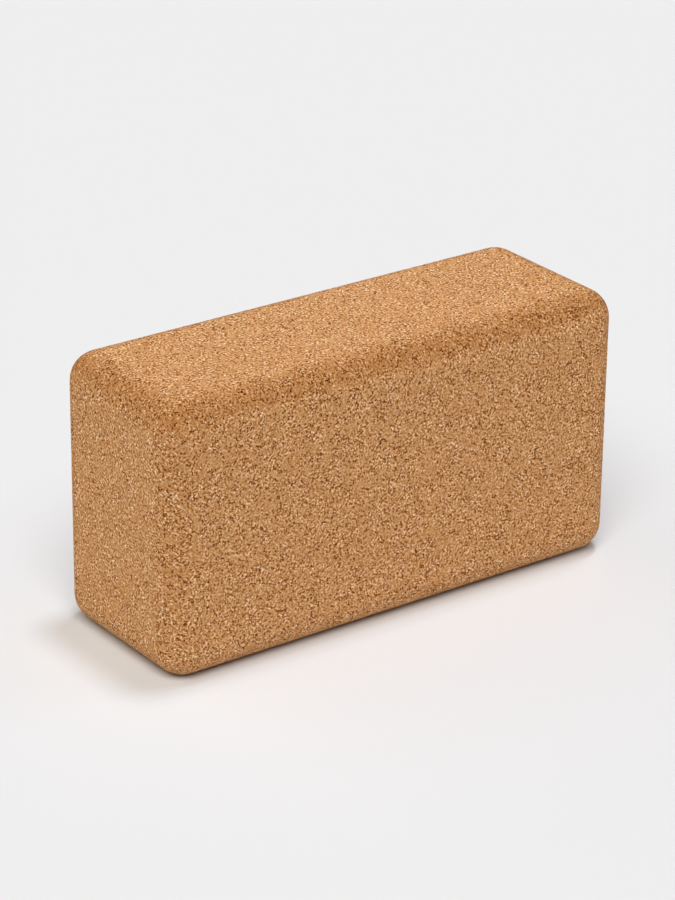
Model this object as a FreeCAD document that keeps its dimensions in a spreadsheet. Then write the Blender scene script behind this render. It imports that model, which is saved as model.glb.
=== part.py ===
import FreeCAD, Part
import os

import Sketcher

# A yoga block: one solid brick of pressed cork granules, sawn to size, with
# all twelve edges rounded over. It is a single piece with nothing inside.
#
# The origin is the middle of the long narrow face that the block stands on.
# +X runs along the length, +Y through the thickness and +Z up the height.
# Lengths are millimetres.

doc = FreeCAD.newDocument("yoga_block")

# Driving dimensions: the outer size of the brick and the radius that its edges are rounded to.
sizes = doc.addObject("Spreadsheet::Sheet", "Sizes")
driving_sizes = (
    ("block_length", "228.6"),
    ("block_height", "120.65"),
    ("block_thickness", "82.55"),
    ("edge_radius", "12.7"),
)
for row, (name, value) in enumerate(driving_sizes, start=1):
    cell = f"A{row}"
    sizes.set(cell, value)
    sizes.setAlias(cell, name)
doc.recompute()


def draw_centred_rectangle(sketch, width_name, depth_name):
    """Draw a rectangle centred on the sketch's origin, with its two sides bound to named sizes."""
    half_width = sizes.getPropertyByName(width_name) / 2
    half_depth = sizes.getPropertyByName(depth_name) / 2
    corners = [
        FreeCAD.Vector(-half_width, -half_depth, 0),
        FreeCAD.Vector(half_width, -half_depth, 0),
        FreeCAD.Vector(half_width, half_depth, 0),
        FreeCAD.Vector(-half_width, half_depth, 0),
    ]
    start_point, end_point, root_point = 1, 2, -1
    near, right, far, left = [
        sketch.addGeometry(Part.LineSegment(corners[i], corners[(i + 1) % len(corners)]), False)
        for i in range(len(corners))
    ]
    sides = [near, right, far, left]
    for side, next_side in zip(sides, sides[1:] + sides[:1]):
        sketch.addConstraint(Sketcher.Constraint("Coincident", side, end_point, next_side, start_point))
    for side in (near, far):
        sketch.addConstraint(Sketcher.Constraint("Horizontal", side))
    for side in (right, left):
        sketch.addConstraint(Sketcher.Constraint("Vertical", side))
    sketch.addConstraint(
        Sketcher.Constraint("Symmetric", near, start_point, far, start_point, root_point, start_point)
    )
    width = sketch.addConstraint(
        Sketcher.Constraint("DistanceX", near, start_point, near, end_point, 2 * half_width)
    )
    depth = sketch.addConstraint(
        Sketcher.Constraint("DistanceY", right, start_point, right, end_point, 2 * half_depth)
    )
    sketch.renameConstraint(width, "Width")
    sketch.renameConstraint(depth, "Depth")
    sketch.setExpression("Constraints.Width", f"Sizes.{width_name}")
    sketch.setExpression("Constraints.Depth", f"Sizes.{depth_name}")


# The block: its footprint is drawn on the floor, raised to the block's height and rounded.
cork_block = doc.addObject("PartDesign::Body", "CorkBlock")
cork_block.Label = "cork_block"
floor_plane = next(
    plane for plane in cork_block.Origin.OriginFeatures if plane.Role == "XY_Plane"
)

footprint = cork_block.newObject("Sketcher::SketchObject", "Footprint")
footprint.AttachmentSupport = (floor_plane, [""])
footprint.MapMode = "FlatFace"
draw_centred_rectangle(footprint, "block_length", "block_thickness")

sawn_brick = cork_block.newObject("PartDesign::Pad", "SawnBrick")
sawn_brick.Profile = footprint
sawn_brick.setExpression("Length", "Sizes.block_height")
doc.recompute()

rounded_edges = cork_block.newObject("PartDesign::Fillet", "RoundedEdges")
rounded_edges.Base = (sawn_brick, [f"Edge{i}" for i, _ in enumerate(sawn_brick.Shape.Edges, start=1)])
rounded_edges.setExpression("Radius", "Sizes.edge_radius")
doc.recompute()

for item in doc.Objects:
    if "Invalid" in item.State or "Error" in item.State:
        raise RuntimeError(f"{item.Label} could not be built: {item.State}")
if cork_block.Shape.isNull() or not cork_block.Shape.isValid():
    raise RuntimeError(f"{cork_block.Label} has no valid shape")

os.makedirs("parts", exist_ok=True)
cork_block.Shape.exportStep(os.path.join("parts", f"{cork_block.Label}.step"))
print(f"{cork_block.Label}: {cork_block.Shape.BoundBox}, {cork_block.Shape.Volume:.1f} mm3")
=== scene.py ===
import math
import random

import bmesh
import bpy
from mathutils import Matrix, Quaternion, Vector


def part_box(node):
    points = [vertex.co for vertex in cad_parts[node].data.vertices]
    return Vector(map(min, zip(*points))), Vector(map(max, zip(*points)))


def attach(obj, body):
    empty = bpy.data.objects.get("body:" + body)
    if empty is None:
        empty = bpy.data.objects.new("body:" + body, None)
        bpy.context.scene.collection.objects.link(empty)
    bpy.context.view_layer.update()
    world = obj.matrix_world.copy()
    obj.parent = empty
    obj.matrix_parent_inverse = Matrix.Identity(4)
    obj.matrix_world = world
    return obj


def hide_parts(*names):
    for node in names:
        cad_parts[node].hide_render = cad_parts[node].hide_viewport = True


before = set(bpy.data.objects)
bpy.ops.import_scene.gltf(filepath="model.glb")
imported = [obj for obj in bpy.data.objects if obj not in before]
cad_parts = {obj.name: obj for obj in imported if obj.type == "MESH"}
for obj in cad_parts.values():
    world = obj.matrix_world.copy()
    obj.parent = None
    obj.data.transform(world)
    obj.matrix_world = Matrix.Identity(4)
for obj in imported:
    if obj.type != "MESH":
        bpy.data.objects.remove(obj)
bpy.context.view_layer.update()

# The cork block
# One solid brick of cork granules, pressed together with a little binder and sawn to size.
# A round cutter has run along every edge. The faces are sanded nearly flush, with small
# open pits where a granule has broken out, painted darker inside as shade. The edges are
# darkened partly as burnish from the cutter and partly as painted shade, most on the upper ones.
block_low, block_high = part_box("cork_block")
block_centre = (block_low + block_high) / 2
block_size = block_high - block_low
edge_radius = 0.0127
mesh_pitch = 0.0013
scatter_share = 0.36
sanding_relief = 0.00009
edge_segments = 2 * round(math.pi / 4 * edge_radius / mesh_pitch)
granule_draw = random.Random(9)

core_half = block_size / 2 - Vector((edge_radius,) * 3)


def from_core(point):
    """The nearest point of the straight-sided core inside the rounding, and the way out from it."""
    local = point - block_centre
    nearest = Vector([max(-h, min(h, x)) for x, h in zip(local, core_half)])
    return nearest + block_centre, (local - nearest).normalized()


brick = bmesh.new()
bmesh.ops.create_cube(
    brick,
    size=1.0,
    matrix=Matrix.Translation(block_centre) @ Matrix.Diagonal((*block_size, 1.0)),
)
bmesh.ops.bevel(
    brick,
    geom=brick.edges[:],
    offset=edge_radius,
    offset_type="OFFSET",
    affect="EDGES",
    segments=edge_segments,
    profile=0.5,
    material=-1,
)

# The edges that run the whole length of a straight side are cut into a grid.
for axis in range(3):
    span = 2 * core_half[axis]
    nearly_whole = 0.9 * span
    straight_edges = [
        edge
        for edge in brick.edges
        if abs(edge.verts[0].co[axis] - edge.verts[1].co[axis]) > nearly_whole
    ]
    bmesh.ops.subdivide_edges(
        brick,
        edges=straight_edges,
        cuts=round(span / mesh_pitch) - 1,
        use_grid_fill=True,
    )

# Granules lie at random, so the grid is scattered along the surface before it is roughened. Each
# point moves by a share of the way to its nearest neighbour, so no face is turned over.
reach = [scatter_share * min(edge.calc_length() for edge in vert.link_edges) for vert in brick.verts]
for vert, room in zip(brick.verts, reach):
    step = Vector([granule_draw.uniform(-room, room) for _ in range(3)])
    core_point, outward = from_core(vert.co + step)
    vert.co = core_point + outward * edge_radius

# Each of the six sides is laid out flat, not mirrored, half of each rounding unrolled with it. In
# the layout the long sides stand over each other in one column and the two ends in a second.
layout = brick.loops.layers.uv.new("OFBake")
layout_gap = 0.004
unrolled = [2 * (half + math.pi / 4 * edge_radius) + layout_gap for half in core_half]
layout_size = (unrolled[0] + unrolled[1], 2 * unrolled[2] + 2 * unrolled[1])
layout_corners = {
    (1, -1): (0.0, 0.0),
    (1, 1): (0.0, unrolled[2]),
    (2, -1): (0.0, 2 * unrolled[2]),
    (2, 1): (0.0, 2 * unrolled[2] + unrolled[1]),
    (0, -1): (unrolled[0], 0.0),
    (0, 1): (unrolled[0], unrolled[2]),
}
for face in brick.faces:
    _, facing = from_core(face.calc_center_median())
    side = max(range(3), key=lambda axis: abs(facing[axis]))
    sign = 1 if facing[side] > 0 else -1
    handed = -sign if side == 1 else sign
    across, along = [axis for axis in range(3) if axis != side]
    corner = layout_corners[side, sign]
    for loop in face.loops:
        core_point, outward = from_core(loop.vert.co)
        flat = [
            (core_point - block_centre)[axis]
            + edge_radius * math.atan2(outward[axis], sign * outward[side])
            for axis in (across, along)
        ]
        flat[0] *= handed
        loop[layout].uv = [
            (start + unrolled[axis] / 2 + spot) / whole
            for start, axis, spot, whole in zip(corner, (across, along), flat, layout_size)
        ]

# The roundings are darkened, most in the middle of the arc: partly burnish from the cutter and
# partly painted shade. The painted shade grades them by how they face the light: the upper ones
# are the darkest, the upright ones are weaker and the lower ones, which face the lit floor, are
# left undarkened.
undarkened_below = -0.25
darkest_above = 0.45
burnish_and_painted_shade = brick.verts.layers.float.new("burnish_and_painted_shade")
hollow = brick.verts.layers.float.new("hollow")
# Painted shade and burnish: this weight darkens the upper roundings and leaves the lower ones
# bright.
for vert in brick.verts:
    core_point, outward = from_core(vert.co)
    off_flat = math.acos(min(1.0, max(abs(x) for x in outward)))
    upward_shade_share = (outward.z - undarkened_below) / (darkest_above - undarkened_below)
    vert[burnish_and_painted_shade] = math.sin(2 * off_flat) * max(0.0, min(1.0, upward_shade_share))
    vert.co -= outward * sanding_relief * granule_draw.random() ** 2

# Pits where a granule is missing, in faces with room for one. Each kind is given as its share of
# the mesh faces, then its rim and its depth in metres.
pit_kinds = (
    (0.045, 0.00030, 0.00025),
    (0.030, 0.00024, 0.00045),
    (0.012, 0.00016, 0.00070),
)
least_room = 0.00057
face_count = len(brick.faces)
roomy_faces = [f for f in brick.faces if 2 * f.calc_area() > least_room * f.calc_perimeter()]

# Faces can come in another order in each run, but points can't, so faces are put in order by them.
brick.verts.index_update()
roomy_faces.sort(key=lambda face: sorted(vert.index for vert in face.verts))
granule_draw.shuffle(roomy_faces)
taken = 0
for share, rim, depth in pit_kinds:
    count = round(share * face_count)
    pits = roomy_faces[taken:taken + count]
    taken += count
    bmesh.ops.inset_individual(
        brick, faces=pits, thickness=rim, depth=0.0, use_even_offset=False, use_interpolate=True
    )
    pit_floors = bmesh.ops.poke(brick, faces=pits, offset=-depth)
    # The pit floors are marked for the painted shade that the material lays in them.
    for vert in pit_floors["verts"]:
        vert[hollow] = 1.0

brick_mesh = bpy.data.meshes.new("pressed_cork_brick")
brick.to_mesh(brick_mesh)
brick.free()
brick_piece = bpy.data.objects.new("pressed_cork_brick", brick_mesh)
bpy.context.scene.collection.objects.link(brick_piece)
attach(brick_piece, "root")
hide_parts("cork_block")


# The finish of the cork is dry and matt. Granules of slightly different browns are torn by the
# sanding into finer light and dark, with dark bits of bark and a few pale chips among them.
def srgb(red, green, blue):
    """A colour as it looks on screen, from 0 to 255, as scene light."""
    codes = [c / 255 for c in (red, green, blue)]
    return (*[c / 12.92 if c <= 0.04045 else ((c + 0.055) / 1.055) ** 2.4 for c in codes], 1.0)


def add_node(tree, kind, feeds, **settings):
    """Add one node: settings are its own options, feeds its inputs, as links or plain values."""
    made = tree.nodes.new(kind)
    for name, value in settings.items():
        setattr(made, name, value)
    for name, value in feeds.items():
        if isinstance(value, bpy.types.NodeSocket):
            tree.links.new(value, made.inputs[name])
        else:
            made.inputs[name].default_value = value
    return made


def maths(tree, operation, first, second=0.0, third=0.0):
    """The result of one sum on numbers or sockets."""
    feeds = {0: first, 1: second, 2: third}
    return add_node(tree, "ShaderNodeMath", feeds, operation=operation).outputs[0]


def spread(tree, value, from_low, from_high, to_low, to_high):
    """A value moved from one range to another, and held inside it."""
    feeds = {0: value, 1: from_low, 2: from_high, 3: to_low, 4: to_high}
    return add_node(tree, "ShaderNodeMapRange", feeds).outputs[0]


def blend_colours(tree, kind, amount, under, over):
    """One colour laid over another by an amount from 0 to 1."""
    feeds = {0: amount, 6: under, 7: over}
    return add_node(tree, "ShaderNodeMix", feeds, data_type="RGBA", blend_type=kind).outputs[2]


# Sizes are in metres, and a sway and its size are shares of the size of the pattern that it moves.
# A span is the part of a value's range that is used.
granule_size = 0.0016
torn_size = 0.0009
crumb_size = 0.0004
dust_size = 0.00025
speck_size = 0.0009
patch_size = 0.005
cell_sway_size = 0.8
cell_sway = 0.6
torn_sway_size = 2.5
torn_sway = 1.2
torn_turn = math.radians(34)
draw_span = (0.0, 1.0)
noise_span = (0.25, 0.75)
plain_tone = 0.5
granule_contrast = 0.05
torn_contrast = 0.205
crumb_contrast = 0.08
dust_contrast = 0.05
speck_rim = (0.27, 0.5)
bark_draws = (0.77, 0.92)
bark_depth = 1.8
chip_draws = (0.91, 1.0)
chip_lift = 1.2
patch_span = (0.35, 0.65)
dull_patch = 0.6
lively_patch = 1.4
plain_cork = (196, 144, 93)
tone_step = (76, 90, 103)
darkest_code = 6
palest_code = 254
# The dark brown painted into the pits as shade.
painted_pit_shade = srgb(112, 58, 16)
pit_shade_span = (0.0, 0.6)
pit_shade_cover = 0.8
# The brown that darkens the roundings, partly burnish and partly painted shade.
burnish_and_shade_brown = srgb(219, 208, 191)
grain_relief = 0.0002
grain_bump = 0.7
dust_height = 0.5
tone_span = (0.2, 0.8)
dark_roughness = 0.95
pale_roughness = 0.8
dry_specular = 0.1

cork = bpy.data.materials.new("pressed_cork_granules")
cork.use_nodes = True
cork_nodes = cork.node_tree
cork_nodes.nodes.clear()
place = add_node(cork_nodes, "ShaderNodeTexCoord", {}).outputs["Object"]


def noise_at(size, detail):
    """Soft noise of this size through the whole block."""
    feeds = {"Vector": place, "Scale": 1 / size, "Detail": detail}
    return add_node(cork_nodes, "ShaderNodeTexNoise", feeds).outputs


def swayed(start, size, detail, sway):
    """A place, moved about by a noise of this size, so that what is drawn there gets ragged."""
    feeds = {0: noise_at(size, detail)["Color"], 1: (sway,) * 3, 2: start}
    return add_node(cork_nodes, "ShaderNodeVectorMath", feeds, operation="MULTIPLY_ADD").outputs[0]


def cells(size, offset):
    """Ragged cells of this size. The offset keeps each pattern of cells apart from the others."""
    start = add_node(cork_nodes, "ShaderNodeVectorMath", {0: place, 1: offset}, operation="ADD")
    ragged = swayed(start.outputs[0], cell_sway_size * size, 2.0, cell_sway * size)
    feeds = {"Vector": ragged, "Scale": 1 / size}
    return add_node(cork_nodes, "ShaderNodeTexVoronoi", feeds).outputs


def draws_of(cell_outputs):
    """Three random numbers for each cell."""
    return add_node(cork_nodes, "ShaderNodeSeparateColor", {0: cell_outputs["Color"]}).outputs


def torn_at(size):
    """Light and dark on the unrolled skin of the block, turned out of line with its edges."""
    laid_out = add_node(cork_nodes, "ShaderNodeUVMap", {}, uv_map="OFBake").outputs[0]
    turned = add_node(
        cork_nodes,
        "ShaderNodeMapping",
        {"Vector": laid_out, "Scale": (*layout_size, 1.0), "Rotation": (0.0, 0.0, torn_turn)},
    ).outputs[0]
    ragged = swayed(turned, torn_sway_size * size, 0.0, torn_sway * size)
    feeds = {"Vector": ragged, "Scale": 1 / size, "Detail": 0.0}
    return add_node(cork_nodes, "ShaderNodeTexNoise", feeds, noise_dimensions="2D").outputs[0]


# The tone runs from 0, dark bark, through 0.5, plain cork, to 1, a pale chip. Each pattern takes
# it down and up by its contrast.
granules = cells(granule_size, (0.0, 0.0, 0.0))
crumbs = cells(crumb_size, (0.31, 0.17, 0.23))
specks = cells(speck_size, (0.11, 0.37, 0.05))
dust = noise_at(dust_size, 2.0)["Fac"]
patterns = (
    (draws_of(granules)[0], draw_span, granule_contrast),
    (torn_at(torn_size), noise_span, torn_contrast),
    (draws_of(crumbs)[0], draw_span, crumb_contrast),
    (dust, noise_span, dust_contrast),
)
tone = plain_tone
for value, value_span, contrast in patterns:
    change = spread(cork_nodes, value, *value_span, -contrast, contrast)
    tone = maths(cork_nodes, "ADD", tone, change)

# Dark bits of bark and a few pale chips stand out as specks.
speck = spread(cork_nodes, specks["Distance"], *speck_rim, 1.0, 0.0)
speck_draws = draws_of(specks)
bark_share = spread(cork_nodes, speck_draws[0], *bark_draws, 0.0, bark_depth)
chip_share = spread(cork_nodes, speck_draws[1], *chip_draws, 0.0, chip_lift)
tone = maths(cork_nodes, "SUBTRACT", tone, maths(cork_nodes, "MULTIPLY", speck, bark_share))
tone = maths(cork_nodes, "ADD", tone, maths(cork_nodes, "MULTIPLY", speck, chip_share))

# The grain is livelier in some patches than in others.
patches = noise_at(patch_size, 1.0)["Fac"]
liveliness = spread(cork_nodes, patches, *patch_span, dull_patch, lively_patch)
off_plain = maths(cork_nodes, "SUBTRACT", tone, plain_tone)
tone = maths(cork_nodes, "MULTIPLY_ADD", off_plain, liveliness, plain_tone)

ramp = add_node(cork_nodes, "ShaderNodeValToRGB", {0: tone})
stops = ramp.color_ramp.elements
for position in (0.2, 0.35, plain_tone, 0.65, 0.8):
    stops.new(position)
for stop in stops:
    steps = 2 * (stop.position - plain_tone)
    shade = [code + steps * step for code, step in zip(plain_cork, tone_step)]
    stop.color = srgb(*[max(darkest_code, min(palest_code, code)) for code in shade])

# Painted shade: the pits are darkened towards their floors with a dark brown.
in_pit = add_node(cork_nodes, "ShaderNodeAttribute", {}, attribute_name="hollow").outputs["Fac"]
pit_shade_share = spread(cork_nodes, in_pit, *pit_shade_span, 0.0, pit_shade_cover)
colour = blend_colours(cork_nodes, "MIX", pit_shade_share, ramp.outputs[0], painted_pit_shade)
# Painted shade and burnish: the roundings are darkened by the weight laid on them in the mesh.
burnished_and_shaded = add_node(cork_nodes, "ShaderNodeAttribute", {}, attribute_name="burnish_and_painted_shade").outputs["Fac"]
colour = blend_colours(cork_nodes, "MULTIPLY", burnished_and_shaded, colour, burnish_and_shade_brown)
height = maths(cork_nodes, "MULTIPLY_ADD", dust, dust_height, tone)
bump_feeds = {"Strength": grain_bump, "Distance": grain_relief, "Height": height}
bump = add_node(cork_nodes, "ShaderNodeBump", bump_feeds)
shader = add_node(
    cork_nodes,
    "ShaderNodeBsdfPrincipled",
    {
        "Base Color": colour,
        "Roughness": spread(cork_nodes, tone, *tone_span, dark_roughness, pale_roughness),
        "Normal": bump.outputs[0],
        "Specular IOR Level": dry_specular,
    },
)
add_node(cork_nodes, "ShaderNodeOutputMaterial", {"Surface": shader.outputs[0]})
brick_mesh.materials.append(cork)

# The studio
# A plain pale floor that runs out into a backdrop of the same tone. A small soft lamp stands
# nearly overhead, a broad one high in front on the left, and two weaker ones low down, one
# behind on the left and one on the right.
floor_half = 5.0
floor_tone = srgb(220, 220, 220)
backdrop_tone = srgb(237, 237, 237)
sky_strength = 0.05

floor_shape = bmesh.new()
bmesh.ops.create_grid(floor_shape, x_segments=1, y_segments=1, size=floor_half)
floor_mesh = bpy.data.meshes.new("studio_floor")
floor_shape.to_mesh(floor_mesh)
floor_shape.free()
floor = bpy.data.objects.new("studio_floor", floor_mesh)
bpy.context.scene.collection.objects.link(floor)

floor_paint = bpy.data.materials.new("studio_floor_paint")
floor_paint.use_nodes = True
floor_nodes = floor_paint.node_tree
floor_nodes.nodes.clear()
paint = add_node(floor_nodes, "ShaderNodeBsdfDiffuse", {"Color": floor_tone})
add_node(floor_nodes, "ShaderNodeOutputMaterial", {"Surface": paint.outputs[0]})
floor_mesh.materials.append(floor_paint)

sky = bpy.data.worlds.new("studio_sky")
bpy.context.scene.world = sky
sky.use_nodes = True
sky_nodes = sky.node_tree
sky_nodes.nodes.clear()
rays = add_node(sky_nodes, "ShaderNodeLightPath", {})
seen = maths(sky_nodes, "MAXIMUM", rays.outputs["Is Camera Ray"], rays.outputs["Is Glossy Ray"])
seen = maths(sky_nodes, "MAXIMUM", seen, rays.outputs["Is Transmission Ray"])
sky_light = add_node(
    sky_nodes, "ShaderNodeBackground", {"Strength": sky_strength, "Color": srgb(255, 255, 255)}
)
sky_seen = add_node(sky_nodes, "ShaderNodeBackground", {"Strength": 1.0, "Color": backdrop_tone})
sky_mix = add_node(
    sky_nodes, "ShaderNodeMixShader", {0: seen, 1: sky_light.outputs[0], 2: sky_seen.outputs[0]}
)
add_node(sky_nodes, "ShaderNodeOutputWorld", {"Surface": sky_mix.outputs[0]})


def add_lamp(name, azimuth, elevation, strength, softness, tint):
    """A far lamp. Angles are in degrees: azimuth from +X towards +Y, and softness is its width."""
    lamp = bpy.data.lights.new(name, "SUN")
    lamp.energy = strength
    lamp.color = tint
    lamp.angle = math.radians(softness)
    lamp_object = bpy.data.objects.new(name, lamp)
    turn = math.radians(azimuth)
    rise = math.radians(elevation)
    level = Vector((math.cos(turn), math.sin(turn), 0.0))
    towards = level * math.cos(rise) + Vector((0.0, 0.0, math.sin(rise)))
    lamp_object.rotation_euler = towards.to_track_quat("Z", "Y").to_euler()
    bpy.context.scene.collection.objects.link(lamp_object)


add_lamp("overhead_lamp", 3, 81, strength=1.12, softness=10, tint=(0.94, 1.0, 1.13))
add_lamp("front_left_lamp", 232, 54, strength=2.42, softness=40, tint=(1.03, 1.0, 0.97))
add_lamp("back_left_lamp", 140, 20, strength=1.02, softness=90, tint=(1.04, 1.0, 0.86))
add_lamp("right_lamp", 340, 8, strength=0.95, softness=40, tint=(1.0, 1.0, 1.02))

# The camera
# It stands in front of the block and to its left, a little above it, and frames it as the
# photograph does, in an upright picture of 675 by 900 pixels.
picture_height = 900
camera_azimuth = math.radians(-36.49)
camera_elevation = math.radians(24.18)
camera_roll = math.radians(0.67)
camera_distance = 1.46003
focal_pixels = 3481.11
shift_right_pixels = 6.92
shift_down_pixels = 2.54

camera = bpy.data.cameras.new("camera")
camera.sensor_width = 36.0
camera.lens = focal_pixels * camera.sensor_width / picture_height
camera.shift_x = -shift_right_pixels / picture_height
camera.shift_y = shift_down_pixels / picture_height
camera_object = bpy.data.objects.new("camera", camera)
back = Vector((
    math.sin(camera_azimuth) * math.cos(camera_elevation),
    -math.cos(camera_azimuth) * math.cos(camera_elevation),
    math.sin(camera_elevation),
))
roll = Quaternion((0, 0, 1), camera_roll)
camera_object.rotation_mode = "QUATERNION"
camera_object.rotation_quaternion = (-back).to_track_quat("-Z", "Y") @ roll
camera_object.location = block_centre + back * camera_distance
bpy.context.scene.collection.objects.link(camera_object)
bpy.context.scene.camera = camera_object
bpy.context.scene.view_settings.view_transform = "Standard"
